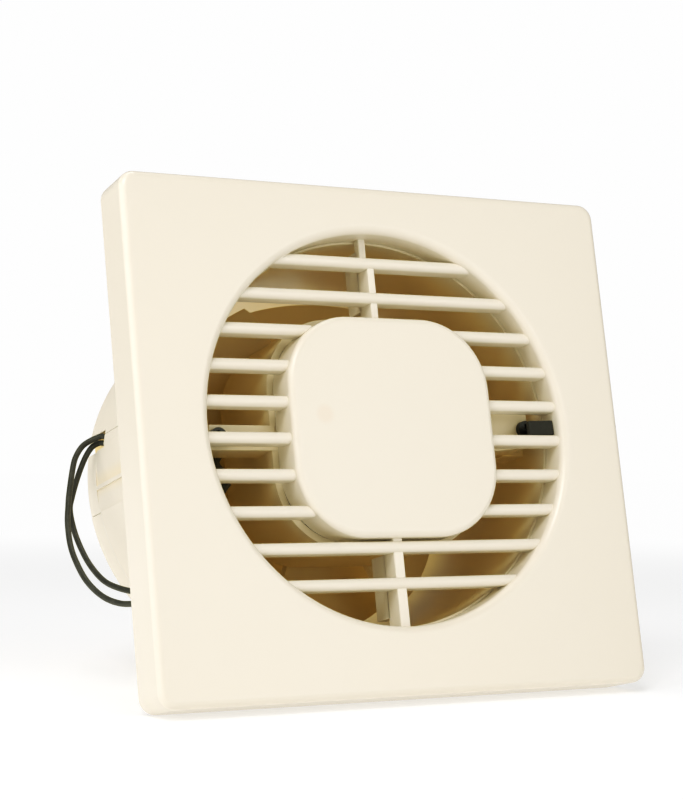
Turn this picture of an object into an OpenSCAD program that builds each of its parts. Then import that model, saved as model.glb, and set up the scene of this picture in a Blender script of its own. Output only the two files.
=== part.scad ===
// Bathroom extractor fan for a 100 mm duct: clip-on square grille, round duct housing,
// motor carrier with a four-pole shaded-pole motor, axial impeller and two flying leads.
// Origin: on the duct's axis, in the plane of the wall. +Y runs back into the duct,
// +Z is up and +X is to the right as the grille is seen from the room. Millimetres.

/* [Front grille] */
// Width of the square front
fascia_w = 150; // [146:1:156]
// Height of the square front
fascia_h = 142; // [140:1:148]
// How far the front stands off the wall
fascia_depth = 14.5; // [14:0.5:16]
// How far the front's centre sits below the duct's axis
fascia_drop = 2.8; // [2:0.2:4]
// Thickness of the front's walls
fascia_wall = 2.2; // [2:0.1:2.6]
// Radius of the round opening
opening_r = 55; // [54:0.5:55.5]
// Number of horizontal bars
bar_count = 10; // [10:1:10]
// Distance from one bar to the next
bar_pitch = 10; // [9.6:0.1:10.2]
// Thickness of a bar
bar_t = 3.2; // [2.6:0.1:3.6]
// Depth of a bar, front to back
bar_depth = 5.4; // [4:0.2:7]
// How far the set of bars sits above the duct's axis
bar_lift = 1.9; // [1:0.1:2.2]
// Width of the rounded panel in the middle
hub_w = 63; // [60:0.2:63]
// Height of the rounded panel in the middle
hub_h = 61.6; // [60:0.2:62]
// Corner radius of the middle panel
hub_r = 20; // [16:1:24]

/* [Duct] */
// Outside diameter of the duct
duct_od = 113; // [113:0.5:114]
// Wall thickness of the duct
duct_wall = 2; // [1.8:0.1:2.2]
// Length of the duct behind the wall's face
duct_len = 76; // [76:1:90]
// Bore of the wall screw holes
wall_hole_d = 4.4; // [4:0.1:5]
// Distance between the wall screw holes, left to right
wall_hole_x = 126; // [124:1:128]
// Distance between the wall screw holes, bottom to top
wall_hole_z = 118; // [114:1:119]

/* [Motor] */
// Side of the motor's square core
core_side = 56; // [54:1:56]
// Thickness of the core's stack of laminations
core_stack = 14; // [12:1:14]
// Diameter of the shaft
shaft_d = 4; // [4:0.1:4.2]
// Diameter of the rotor
rotor_d = 25.4; // [24.8:0.2:25.4]

/* [Impeller] */
// Diameter over the blade tips
impeller_d = 100; // [96:1:104]
// Number of blades
blade_count = 8; // [6:1:8]
// Angle of a blade to the plane of rotation
blade_angle = 26; // [22:1:28]

/* [Leads] */
// Diameter of one lead
lead_d = 1.7; // [1.6:0.1:1.8]

/* [Hidden] */

$fn = 96;
CREAM = [0.95, 0.92, 0.84];
PALE = [0.90, 0.89, 0.84];
BLACK = [0.13, 0.13, 0.12];
STEEL = [0.68, 0.69, 0.71];
IRON = [0.45, 0.46, 0.48];
COPPER = [0.72, 0.42, 0.22];
BRASS = [0.80, 0.66, 0.36];

eps = 0.01;                      // overlap that joins two shapes of one piece
face_y = -fascia_depth;          // plane of the front
fascia_z = -fascia_drop;         // height of the front's centre
corner_r = 4.5;                  // corners of the front, seen from the room
edge_c = 1.4;                    // chamfer round the front's edge
lip = 2.3;                       // how far the opening's edge is eased
ring_t = 2;                      // wall of the ring round the opening
ring_back_y = -5.6;              // back of that ring
bar_front_y = face_y + 1.8;      // nose of the bars
hub_back_y = -4.3;               // back of the middle panel's skirt
hub_wall = 2;
hub_x = 0.7;                     // the middle panel sits a little to the right
rib_t = [3, 2.2];                // upright ribs below and above the middle panel
rib_x = -1;
rib_back_y = 1.5;

snap_x = [-44, 44];              // the four snap tongues
snap_w = 9;
snap_t = 1.8;
snap_gap = 0.5;                  // room round a tongue in its slot
snap_z = fascia_h / 2 - fascia_wall - 3.4;  // tongue's outer face from the front's centre

duct_r = duct_od / 2;
bore_r = duct_r - duct_wall;
end_r = duct_r - 0.8;            // slightly smaller free end, for pushing a duct on
taper_y = [duct_len - 10, duct_len - 7.5];
flange_t = 2.5;
flange_gap = 0.6;                // room between the flange and the front's skirt
collar_front_y = -5.2;           // short collar that meets the ring

channel_z = [-8.5, 14];          // lead channel on the duct's left side
channel_y0 = 0;
channel_floor_x = -52.4;
channel_wall = 1.6;
cover_x = [-55.4, -54.2];        // outer and inner face of the channel's cover
exit_y = 64.5;                   // where the leads leave the channel
sleeve_hole_y = 12;
sleeve_hole_z = -6;
sleeve_d = 3.2;
sleeve_fit = 0.3;                // room round the sleeve in its holes
exit_half = 3.5;                 // half the length of the leads' way out

cup_side = 65;                   // rounded square cup that holds the motor
cup_r = 21;
cup_wall = 2;
cup_front_y = -3.6;
cup_back_y = 27;
cup_hole_y = 9.5;                // where the sleeve leaves the cup
cup_hole_z = -1;
arm_front_y = -4;
arm_back_y = 6;
arm_left_z = [-4.9, 2];          // underside and top of the left arm
lug_y = [6, 16];
lug_x = 47.2;
carrier_screw_x = 48.7;
carrier_screw_left_z = -1.4;
carrier_screw_right_z = 1.6;

core_front_y = 5;
core_back_y = core_front_y + core_stack;
rotor_r = rotor_d / 2;
air_gap = 0.4;
pole_bore_r = rotor_r + air_gap;
corner_hole = 28.5;              // motor bolts, from the axis
bracket_plate = 1.5;
front_plate_y = -1;
rear_plate_y = 25;               // back face of the rear bracket, on the cup's rear wall
hub_boss_r = 7;
shaft_front_y = -2.2;
shaft_back_y = 60;

blade_front_y = 30.5;
blade_back_y = 54.5;
blade_chord = 42;
blade_t = 1.6;
impeller_hub_r = 21;
impeller_r = impeller_d / 2;

// Routes of the two free leads: out of the channel, down round the duct's left side in a loose
// bow, and forward to the hole in the flange above the terminal block.
lead_hole_z = -41;
lead_a_x = -62;
lead_b_x = -57;
lead_a_route = [[-54.7, 64, 14], [-57.4, 65.8, 13], [-60.2, 66, 11.2], [-62.8, 65.2, 7.8],
    [-64.5, 64, 3.8], [-67.2, 61, -4.1], [-68.5, 59, -8.3], [-70.1, 56, -13.5], [-71.6, 51, -20.7],
    [-72, 46, -26.6], [-71.2, 41, -32.7], [-69.3, 35, -37.8], [-67.4, 28, -40.8], [-65.8, 21, -42],
    [-64, 14, -42.2], [-62.6, 8, -41.5], [lead_a_x, 4, lead_hole_z], [lead_a_x, 0, lead_hole_z]];
lead_b_route = [[-54.6, 66.4, 12.4], [-56.8, 67.2, 11.2], [-59.2, 67.5, 7.7], [-62, 67, 2],
    [-64.6, 66, -4.3], [-65.8, 65, -8.1], [-66.2, 62, -14.2], [-66.4, 57, -20.4], [-66.2, 51, -26.5],
    [-65.6, 43, -32.2], [-64.5, 35, -35.6], [-62.6, 26, -38.2], [-60.4, 17, -40], [-58.2, 9, -41],
    [lead_b_x, 4, lead_hole_z], [lead_b_x, 0, lead_hole_z]];
lead_samples = 2;                // rings for each step of a route

// ---------- helpers ----------

// Extrudes an outline drawn in X and Z from y0 back to y1.
module slab_y(y0, y1) {
    translate([0, y1, 0]) rotate([90, 0, 0]) linear_extrude(y1 - y0) children();
}

module disc_y(y0, y1, r) {
    translate([0, y1, 0]) rotate([90, 0, 0]) cylinder(r = r, h = y1 - y0);
}

// Ring about the duct's axis.
module ring_y(y0, y1, r_out, r_in) {
    difference() {
        disc_y(y0, y1, r_out);
        disc_y(y0 - 1, y1 + 1, r_in);
    }
}

// Rounded rectangle made of exact arcs.
module round_rect(w, h, r) {
    square([w, h - 2 * r], center = true);
    square([w - 2 * r, h], center = true);
    for (sx = [-1, 1], sz = [-1, 1]) translate([sx * (w / 2 - r), sz * (h / 2 - r)]) circle(r);
}

// Box from one corner to the opposite one.
module box(a, b) {
    translate(a) cube(b - a);
}

// Pan-head screw whose head faces the room: the head's underside is at y.
module screw_y(x, z, y, d, length, head_d, head_h) {
    translate([x, 0, z]) {
        disc_y(y - eps, y + length, d / 2);
        difference() {
            disc_y(y - head_h, y, head_d / 2);
            slab_y(y - head_h - 1, y - head_h * 0.5) {
                square([head_d * 0.66, head_d * 0.17], center = true);
                square([head_d * 0.17, head_d * 0.66], center = true);
            }
        }
    }
}

// Points of a smooth curve through a route (a Catmull-Rom spline).
function route_point(p, i, t) =
    let (n = len(p) - 1, a = p[max(i - 1, 0)], b = p[i], c = p[min(i + 1, n)], d = p[min(i + 2, n)])
    0.5 * (2 * b + t * (c - a) + t * t * (2 * a - 5 * b + 4 * c - d)
        + t * t * t * (3 * b - a - 3 * c + d));
function smooth_route(p, m) =
    concat([for (i = [0 : len(p) - 2], j = [0 : m - 1]) route_point(p, i, j / m)], [p[len(p) - 1]]);
function unit(v) = v / norm(v);
function direction(p, i) = unit(p[min(i + 1, len(p) - 1)] - p[max(i - 1, 0)]);
// The rings keep one side turned towards the duct's axis, so that the tube doesn't twist.
function side_of(p, i) = unit(cross(direction(p, i), [0, 0.3, 1]));

// Round tube swept along points.
module tube(p, d, sides = 8) {
    ring_points = [for (i = [0 : len(p) - 1])
        let (s = side_of(p, i), u = cross(s, direction(p, i)))
        for (k = [0 : sides - 1]) p[i] + d / 2 * (cos(k * 360 / sides) * s + sin(k * 360 / sides) * u)];
    skin = [for (i = [0 : len(p) - 2], k = [0 : sides - 1])
        let (a = i * sides + k, b = i * sides + (k + 1) % sides) each
        [[a, b, a + sides], [b, b + sides, a + sides]]];
    last = (len(p) - 1) * sides;
    caps = [[for (k = [sides - 1 : -1 : 0]) k], [for (k = [0 : sides - 1]) last + k]];
    polyhedron(points = ring_points, faces = concat(skin, caps), convexity = 6);
}

// ---------- front grille ----------

module fascia_outline(inset) {
    translate([0, fascia_z]) round_rect(fascia_w - 2 * inset, fascia_h - 2 * inset,
        max(corner_r - inset, 1.5));
}

// The front's outer block with its front edge eased all round.
module fascia_block() {
    hw = fascia_w / 2;
    hh = fascia_h / 2;
    profile = function (h) [[-h, 0], [-h, face_y + edge_c], [-h + edge_c, face_y],
        [h - edge_c, face_y], [h, face_y + edge_c], [h, 0]];
    intersection() {
        slab_y(face_y, 0) fascia_outline(0);
        translate([0, 0, fascia_z - hh - 1]) linear_extrude(fascia_h + 2) polygon(profile(hw));
        translate([-hw - 1, 0, fascia_z]) rotate([90, 0, 90]) linear_extrude(fascia_w + 2)
            polygon([for (q = profile(hh)) [q[1], q[0]]]);
    }
}

// One bar: a flat strip with a round nose, running right across the opening.
module bar(z) {
    reach = opening_r + 1;
    translate([-reach, bar_front_y + bar_t / 2, z]) rotate([0, 90, 0]) cylinder(d = bar_t, h = 2 * reach);
    box([-reach, bar_front_y + bar_t / 2, z - bar_t / 2], [reach, bar_front_y + bar_depth, z + bar_t / 2]);
}

function bar_z(i) = bar_lift + ((bar_count - 1) / 2 - i) * bar_pitch;

module snap_tongues() {
    for (x = snap_x, s = [-1, 1]) {
        z0 = fascia_z + s * snap_z;
        box([x - snap_w / 2, face_y + fascia_wall - eps, min(z0, z0 - s * snap_t)],
            [x + snap_w / 2, 0, max(z0, z0 - s * snap_t)]);
    }
}

module hub_outline(inset) {
    translate([hub_x, 0]) round_rect(hub_w - 2 * inset, hub_h - 2 * inset, hub_r - inset);
}

// Takes the sharp edge off the round opening.
module opening_flare() {
    translate([0, face_y + lip, 0]) rotate([90, 0, 0])
        cylinder(r1 = opening_r, r2 = opening_r + lip, h = lip);
}

// Upright rib from the middle panel to the ring: s is 1 above and -1 below. Behind the ring it
// reaches back past the front of the motor's cup, and leaves room round that cup.
module rib(s) {
    half_t = rib_t[s < 0 ? 0 : 1] / 2;
    z_in = s * (hub_h / 2 - 1);
    z_cup = s * (cup_side / 2 + 2);
    z_out = s * (opening_r + 1);
    box([rib_x - half_t, bar_front_y + 1, min(z_in, z_cup)], [rib_x + half_t, hub_back_y, max(z_in, z_cup)]);
    intersection() {
        box([rib_x - half_t, bar_front_y + 1, min(z_cup, z_out)],
            [rib_x + half_t, rib_back_y, max(z_cup, z_out)]);
        union() {
            disc_y(face_y, ring_back_y, opening_r + 1);
            disc_y(ring_back_y - eps, rib_back_y, bore_r - 2.5);
        }
    }
}

module front_grille() {
    color(CREAM) {
        difference() {
            fascia_block();
            slab_y(face_y + fascia_wall, 1) fascia_outline(fascia_wall);
            disc_y(face_y - 1, 0, opening_r);
            opening_flare();
        }
        difference() {
            ring_y(face_y + fascia_wall - eps, ring_back_y, opening_r + ring_t, opening_r);
            opening_flare();
        }
        intersection() {
            disc_y(face_y, ring_back_y, opening_r + ring_t / 2);
            difference() {
                for (i = [0 : bar_count - 1]) bar(bar_z(i));
                slab_y(face_y - 1, 0) hub_outline(hub_wall / 2);
            }
        }
        difference() {
            slab_y(face_y, hub_back_y) hub_outline(0);
            slab_y(face_y + hub_wall, 0) hub_outline(hub_wall);
        }
        for (s = [-1, 1]) rib(s);
        snap_tongues();
    }
}

// Small rubber block on a bar, against the ring: it stops the bars from humming.
module grille_buffer() {
    z_top_of_bar = bar_z(5) + bar_t / 2;
    color(BLACK) intersection() {
        box([46.2, -11, z_top_of_bar], [opening_r + 1, -9.2, z_top_of_bar + 4.6]);
        disc_y(-12, -8, opening_r);
    }
}

// ---------- housing ----------

module wall_holes() {
    for (sx = [-1, 1], sz = [-1, 1]) translate([sx * wall_hole_x / 2, 0, sz * wall_hole_z / 2])
        disc_y(-flange_t - 1, 1, wall_hole_d / 2);
}

block_x = [-64, -46];            // terminal block, in the lower left corner
block_z = [-56, -46];
block_y = [-11.3, -2.5];
block_screw_x = -55;
block_mid_z = (block_z[0] + block_z[1]) / 2;
way_x = [block_x[0] + 4, block_x[1] - 4];
way_y = -5.4;                    // axis of the block's two ways
tube_r = [1.95, 1.3];            // outside and bore of a terminal's brass tube

clamp_x = 50;                    // cord clamp, in the lower right corner
clamp_z = -52;
cable_hole_r = 5;
cable_hole_x = 60;
cable_hole_z = -40;

// Outline of the spigot, with its smaller free end.
module spigot_outline(front_y) {
    disc_y(front_y, taper_y[0], duct_r);
    translate([0, taper_y[1], 0]) rotate([90, 0, 0])
        cylinder(r1 = end_r, r2 = duct_r, h = taper_y[1] - taper_y[0]);
    disc_y(taper_y[1], duct_len, end_r);
}

module housing() {
    color(CREAM) difference() {
        union() {
            slab_y(-flange_t, 0) fascia_outline(fascia_wall + flange_gap);
            spigot_outline(collar_front_y);
            for (dx = [-1, 1]) translate([clamp_x + dx * 8, 0, clamp_z]) disc_y(-6.5, -1, 3);
        }
        difference() {
            disc_y(collar_front_y - 1, duct_len + 1, bore_r);
            // inner wall of the lead channel
            box([-bore_r - 1, channel_y0 - channel_wall, channel_z[0] - channel_wall],
                [channel_floor_x + channel_wall, duct_len + 2, channel_z[1] + channel_wall]);
            // lugs that carry the motor carrier's arms
            for (s = [-1, 1]) box([min(s * lug_x, s * (bore_r + 1)), lug_y[0], -4],
                [max(s * lug_x, s * (bore_r + 1)), lug_y[1], 5]);
        }
        // the lead channel itself, open to the outside and at the duct's end
        box([-duct_r - 1, channel_y0, channel_z[0]], [channel_floor_x, duct_len + 1, channel_z[1]]);
        // notch in the channel's upper edge, where the leads come out
        box([-duct_r - 1, exit_y - exit_half, channel_z[1] - 1],
            [channel_floor_x, exit_y + exit_half, channel_z[1] + 1.2]);
        // way in for the sleeve
        translate([channel_floor_x - 1, sleeve_hole_y, sleeve_hole_z]) rotate([0, 90, 0])
            cylinder(d = sleeve_d + 2 * sleeve_fit, h = 6);
        // pilot holes for the carrier's screws
        carrier_screw_places() disc_y(lug_y[0] - 1, lug_y[1] - 1, 1.25);
        wall_holes();
        // slots for the grille's snap tongues
        for (x = snap_x, s = [-1, 1]) {
            z0 = fascia_z + s * (snap_z - snap_t / 2);
            box([x - snap_w / 2 - snap_gap, -flange_t - 1, z0 - snap_t / 2 - snap_gap],
                [x + snap_w / 2 + snap_gap, 1, z0 + snap_t / 2 + snap_gap]);
        }
        // way in for the mains cable, the clamp's pilot holes and the terminal block's pilot hole
        translate([cable_hole_x, 0, cable_hole_z]) disc_y(-flange_t - 1, 1, cable_hole_r);
        for (x = [lead_a_x, lead_b_x]) translate([x, 0, lead_hole_z])
            disc_y(-flange_t - 1, 1, lead_d / 2 + 0.35);
        for (dx = [-1, 1]) translate([clamp_x + dx * 8, 0, clamp_z]) disc_y(-7, -1, 1.1);
        translate([block_screw_x, 0, block_mid_z]) disc_y(-flange_t - 1, 1, 1.1);
    }
}

// Snap-in strip that closes the lead channel, a little below the duct's surface.
module lead_cover() {
    gap = 0.15;
    color(CREAM) intersection() {
        spigot_outline(0);
        difference() {
            union() {
                // round, flush end that the pushed-on duct seats on
                box([-duct_r, taper_y[1], channel_z[0] + gap],
                    [cover_x[1], duct_len - 0.3, channel_z[1] - gap]);
                box([cover_x[0], channel_y0 + gap, channel_z[0] + gap],
                    [cover_x[1], duct_len - 0.3, channel_z[1] - gap]);
                box([cover_x[0] - 0.4, channel_y0 + gap, -1.6], [cover_x[0] + eps, duct_len - 0.3, -0.4]);
                for (z = [channel_z[0] + gap, channel_z[1] - gap - 1])
                    box([cover_x[1] - eps, 20, z], [channel_floor_x - 0.1, 26, z + 1]);
            }
            box([cover_x[0] - 1, exit_y - exit_half, channel_z[1] - 4],
                [cover_x[1] + 1, duct_len + 1, channel_z[1] + 1]);
        }
    }
}

// ---------- motor carrier ----------

module motor_carrier() {
    inner = cup_side - 2 * cup_wall;
    color(CREAM) difference() {
        union() {
            slab_y(cup_front_y, cup_back_y) round_rect(cup_side, cup_side, cup_r);
            box([-50.7, arm_front_y, arm_left_z[0]], [-cup_side / 2 + 1, arm_back_y, arm_left_z[1]]);
            slab_y(arm_front_y, arm_back_y)
                polygon([[cup_side / 2 - 1, -5.4], [50.2, -3.4], [50.2, 6.4], [cup_side / 2 - 1, 8.6]]);
        }
        slab_y(cup_front_y - 1, cup_back_y - cup_wall) round_rect(inner, inner, cup_r - cup_wall);
        disc_y(cup_back_y - 5, cup_back_y + 1, hub_boss_r + 0.6);
        corner_places() disc_y(cup_back_y - 5, cup_back_y + 1, 1.7);
        carrier_screw_places() disc_y(arm_front_y - 1, arm_back_y + 1, 1.6);
        // way out for the sleeve
        translate([-cup_side / 2 - 1, cup_hole_y, cup_hole_z]) rotate([0, 90, 0])
            cylinder(d = sleeve_d + 2 * sleeve_fit, h = 5);
    }
}

module carrier_screw_places() {
    translate([-carrier_screw_x, 0, carrier_screw_left_z]) children();
    translate([carrier_screw_x, 0, carrier_screw_right_z]) children();
}

module carrier_screws() {
    color(STEEL) carrier_screw_places() screw_y(0, 0, arm_front_y, 2.5, 13, 4.8, 1.6);
}

// ---------- motor ----------

module corner_places() {
    for (a = [45 : 90 : 315]) translate([corner_hole * cos(a), 0, corner_hole * sin(a)]) children();
}

// Pressed cross with a bearing boss in the middle and a post to each corner of the core.
module bracket(plate_y, post, boss) {
    color(STEEL) difference() {
        union() {
            slab_y(plate_y, plate_y + bracket_plate) {
                for (a = [45, 135]) rotate(a) square([2 * corner_hole, 8], center = true);
                for (a = [45 : 90 : 315]) rotate(a) translate([corner_hole, 0]) circle(4.7);
                circle(12);
            }
            corner_places() disc_y(post[0], post[1], 3.4);
            disc_y(boss[0], boss[1], hub_boss_r);
        }
        disc_y(boss[0] - 1, boss[1] + 1, bush_r);
        corner_places() disc_y(-20, 40, 1.65);
    }
}

bush_r = 4.5;
bush_front = [-2.2, 2.8];
bush_rear = [21.2, 26.6];

module front_bracket() {
    bracket(front_plate_y, [front_plate_y + 1, core_front_y], [front_plate_y - 1, front_plate_y + 3.6]);
}

module rear_bracket() {
    bracket(rear_plate_y - bracket_plate, [core_back_y, rear_plate_y - 1],
        [rear_plate_y - 3.8, rear_plate_y + 1.7]);
}

// One pole pointing along +X: a neck and a shoe round the rotor, slotted for its shading ring.
module pole_outline() {
    difference() {
        union() {
            translate([pole_bore_r - 1, -4]) square([core_side / 2 - 4 - pole_bore_r, 8]);
            intersection() {
                circle(pole_bore_r + 3.2);
                polygon([[0, 0], [30, -19], [30, 19]]);
            }
        }
        circle(pole_bore_r);
        translate([pole_bore_r - 1, 4.6]) square([2.8, 1]);
    }
}

module stator_core() {
    color(IRON) difference() {
        slab_y(core_front_y, core_back_y) union() {
            difference() {
                round_rect(core_side, core_side, 14);
                round_rect(core_side - 10, core_side - 10, 10);
            }
            for (a = [0 : 90 : 270]) rotate(a) pole_outline();
            for (a = [45 : 90 : 315]) rotate(a) translate([corner_hole, 0]) circle(4.2);
        }
        corner_places() disc_y(core_front_y - 1, core_back_y + 1, 1.65);
    }
}

coil_x = [pole_bore_r + 3.6, core_side / 2 - 5.4];   // along a pole, from shoe to yoke
coil_y = [core_front_y - 2.6, core_back_y + 2.6];    // front and back of a coil

// A square tube round a pole's neck.
module pole_sleeve(x0, x1, wide, y0, y1, inner_wide, inner_y0, inner_y1) {
    difference() {
        box([x0, y0, -wide / 2], [x1, y1, wide / 2]);
        box([x0 - 1, inner_y0, -inner_wide / 2], [x1 + 1, inner_y1, inner_wide / 2]);
    }
}

module pole_bobbins() {
    neck = 8.1;
    color(PALE) for (a = [0 : 90 : 270]) rotate([0, a, 0]) {
        pole_sleeve(coil_x[0], coil_x[1], neck + 1.6, core_front_y - 0.9, core_back_y + 0.9,
            neck, core_front_y - 0.05, core_back_y + 0.05);
        for (x = [coil_x[0], coil_x[1] - 0.7]) pole_sleeve(x, x + 0.7, 17, coil_y[0] - 0.5, coil_y[1] + 0.5,
            neck, core_front_y - 0.05, core_back_y + 0.05);
    }
}

module pole_windings() {
    color(COPPER) for (a = [0 : 90 : 270]) rotate([0, a, 0])
        pole_sleeve(coil_x[0] + 0.75, coil_x[1] - 0.75, 15, coil_y[0], coil_y[1],
            9.8, core_front_y - 0.95, core_back_y + 0.95);
}

// A copper loop through each shoe's slot and round the shoe's tip.
module shading_rings() {
    color(COPPER) for (a = [0 : 90 : 270]) rotate([0, -a, 0]) intersection() {
        difference() {
            box([pole_bore_r + 0.3, core_front_y - 1, 4.7], [pole_bore_r + 1.7, core_back_y + 1, 9.9]);
            box([0, core_front_y - 0.05, 5.5], [30, core_back_y + 0.05, 9.1]);
        }
        difference() {
            disc_y(0, 30, pole_bore_r + 3);
            disc_y(0, 30, pole_bore_r + 0.05);
        }
    }
}

fuse_d = 3.2;
fuse_l = 9;
fuse_z = 19.7;

// Opens the winding's circuit for good if the motor overheats: it lies on the upper coil.
module thermal_fuse() {
    color(BLACK) translate([0, coil_y[0] - fuse_d / 2, fuse_z]) rotate([0, 90, 0])
        cylinder(d = fuse_d, h = fuse_l, center = true);
}

module rotor_core() {
    color(IRON) ring_y(core_front_y, core_back_y, rotor_r, shaft_d / 2);
}

module rotor_cage() {
    color(STEEL) {
        ring_y(core_front_y - 1.8, core_front_y, rotor_r - 0.5, 6);
        ring_y(core_back_y, core_back_y + 1.8, rotor_r - 0.5, 6);
    }
}

module shaft() {
    color(STEEL) difference() {
        disc_y(shaft_front_y, shaft_back_y, shaft_d / 2);
        // flat for the impeller
        box([-3, blade_front_y, shaft_d / 2 - 0.5], [3, shaft_back_y - 6, shaft_d]);
    }
}

module front_bush() {
    color(BRASS) ring_y(bush_front[0], bush_front[1], bush_r, shaft_d / 2 + 0.04);
}

module rear_bush() {
    color(BRASS) ring_y(bush_rear[0], bush_rear[1], bush_r, shaft_d / 2 + 0.04);
}

module oil_felts() {
    color(PALE) {
        ring_y(front_plate_y - 1.9, front_plate_y - 1, hub_boss_r, bush_r + 0.1);
        ring_y(rear_plate_y + 1.7, rear_plate_y + 2.4, hub_boss_r, bush_r + 0.1);
    }
}

module thrust_washers() {
    color(BLACK) {
        ring_y(bush_front[1] + 0.05, bush_front[1] + 0.35, 4.2, shaft_d / 2);
        ring_y(bush_rear[0] - 0.35, bush_rear[0] - 0.05, 4.2, shaft_d / 2);
    }
}

// Four long bolts clamp the brackets and the core against the cup's rear wall.
module motor_bolts() {
    color(STEEL) corner_places() screw_y(0, 0, front_plate_y, 3, 31.2, 5.6, 1.8);
}

module motor_nuts() {
    color(STEEL) corner_places() difference() {
        slab_y(cup_back_y, cup_back_y + 2.4) circle(d = 6.35, $fn = 6);
        disc_y(cup_back_y - 1, cup_back_y + 4, 1.5);
    }
}

// ---------- impeller ----------

module impeller() {
    mid_y = (blade_front_y + blade_back_y) / 2;
    color(PALE) {
        difference() {
            union() {
                ring_y(blade_front_y, blade_back_y, impeller_hub_r, impeller_hub_r - 1.8);
                disc_y(blade_front_y, blade_front_y + 1.8, impeller_hub_r);
                disc_y(blade_front_y, blade_back_y, 5);
                for (a = [0 : 60 : 300]) rotate([0, a, 0])
                    box([4, blade_front_y + 1, -0.6], [impeller_hub_r - 1, blade_back_y - 5, 0.6]);
            }
            difference() {
                disc_y(blade_front_y - 1, blade_back_y + 1, shaft_d / 2);
                box([-3, blade_front_y, shaft_d / 2 - 0.5], [3, blade_back_y, shaft_d]);
            }
        }
        intersection() {
            ring_y(blade_front_y + 1, blade_back_y - 1, impeller_r, impeller_hub_r - 0.9);
            for (i = [0 : blade_count - 1]) rotate([0, i * 360 / blade_count, 0])
                translate([impeller_hub_r - 2, mid_y, 0]) rotate([blade_angle, 0, 0])
                    box([0, -blade_t / 2, -blade_chord / 2], [impeller_r, blade_t / 2, blade_chord / 2]);
        }
    }
}

module impeller_nut() {
    color(STEEL) difference() {
        slab_y(blade_back_y, blade_back_y + 3.2) circle(d = 8.1, $fn = 6);
        disc_y(blade_back_y - 1, blade_back_y + 5, shaft_d / 2);
    }
}

// ---------- leads inside ----------

// From the coils to the sleeve, in front of the bracket.
coil_routes = [[[-4.5, 0.8, 19.7], [-7, -1.6, 19.4], [-10, -2, 15.4], [-15, -2, 10.4],
        [-21, -1.8, 6.4], [-26.4, -0.4, 3], [-29.1, 3, 0.8], [-29.3, 6.4, -0.1], [-29.3, 8.8, -0.1]],
    [[-20, 0.9, -6.6], [-23, 0.5, -6], [-26, 1, -5], [-28.9, 3.6, -3.6], [-29.3, 6.8, -2.2],
        [-29.3, 8.8, -1.9]]];

module coil_leads() {
    color(BLACK) for (r = coil_routes) tube(r, lead_d);
}

sleeve_route = [[-30, cup_hole_y, cup_hole_z], [-34, cup_hole_y, cup_hole_z], [-39, 9.5, -1.4],
    [-42.6, 9.2, -2.8], [-44.4, 8.6, -5.3], [-45, 6.4, -7.7], [-44.4, 4.2, -10], [-43.8, 3.6, -12.6],
    [-44.6, 5.6, -14.2], [-46.2, 8.4, -13.2], [-47.6, 10.6, -10.8], [-48.8, 11.8, -8.3],
    [-50.2, sleeve_hole_y, -6.5], [channel_floor_x, sleeve_hole_y, sleeve_hole_z]];

module lead_sleeve() {
    color(BLACK) tube(smooth_route(sleeve_route, 1), sleeve_d);
}

// Along the channel, under its cover, to the way out.
lead_x = (channel_floor_x + cover_x[1]) / 2;
channel_routes = [[[lead_x, 12.6, -5.1], [lead_x, 16, -3.6], [lead_x, 30, 3.2], [lead_x, 46, 9.2],
        [lead_x, 56, 11.4], [lead_x, 60, 12.4], [-53.6, 62.2, 13.2], lead_a_route[0]],
    [[lead_x, 12.6, -6.9], [lead_x, 18, -5.6], [lead_x, 32, 0.2], [lead_x, 48, 6.4], [lead_x, 58, 9.6],
        [lead_x, 62, 10.9], [-53.6, 64.4, 11.9], lead_b_route[0]]];

module channel_leads() {
    color(BLACK) for (r = channel_routes) tube(r, lead_d);
}

// ---------- free leads ----------

module lead_a() {
    color(BLACK) tube(smooth_route(lead_a_route, lead_samples), lead_d);
}

module lead_b() {
    color(BLACK) tube(smooth_route(lead_b_route, lead_samples), lead_d);
}

// From the flange's hole down into the terminal block.
tail_routes = [for (k = [0, 1]) let (x = [lead_a_x, lead_b_x][k], w = way_x[k])
    [[x, 0, lead_hole_z], [x, -2.4, lead_hole_z], [x + (w - x) * 0.15, -3.9, -41.6],
        [x + (w - x) * 0.5, -4.9, -42.8], [x + (w - x) * 0.85, way_y, -44.4],
        [w, way_y, -46.4], [w, way_y, -49]]];

module lead_tails() {
    color(BLACK) for (r = tail_routes) tube(r, lead_d);
}

// Stripped and tinned ends, under the clamping screws.
module lead_tips() {
    color(STEEL) for (w = way_x) translate([w, way_y, -53]) cylinder(d = 1.1, h = 4);
}

// ---------- terminals and cord clamp ----------

module terminal_block() {
    color(PALE) difference() {
        union() {
            box([block_x[0], block_y[0] + 4, block_z[0]], [block_x[1], block_y[1], block_z[1]]);
            for (x = way_x) box([x - 3, block_y[0], block_z[0]], [x + 3, block_y[0] + 5, block_z[1]]);
        }
        for (x = way_x) {
            translate([x, way_y, block_z[0] - 1]) cylinder(r = tube_r[0] + 0.05, h = 12);
            translate([x, 0, block_mid_z]) disc_y(block_y[0] - 1, way_y, 1.7);
        }
        translate([block_screw_x, 0, block_mid_z]) disc_y(block_y[0] - 1, 0, 1.5);
    }
}

module terminal_tubes() {
    color(BRASS) for (x = way_x) difference() {
        translate([x, way_y, block_z[0] + 0.5]) cylinder(r = tube_r[0], h = 9);
        translate([x, way_y, block_z[0] - 1]) cylinder(r = tube_r[1], h = 12);
        translate([x, 0, block_mid_z]) disc_y(-10, way_y, tube_r[1]);
    }
}

module terminal_screws() {
    color(STEEL) for (x = way_x) screw_y(x, block_mid_z, -8.4, 2.4, 2.4, 3.2, 1.4);
}

module block_screw() {
    color(STEEL) screw_y(block_screw_x, block_mid_z, -7.3, 2.2, 6.5, 3.8, 1.5);
}

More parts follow.
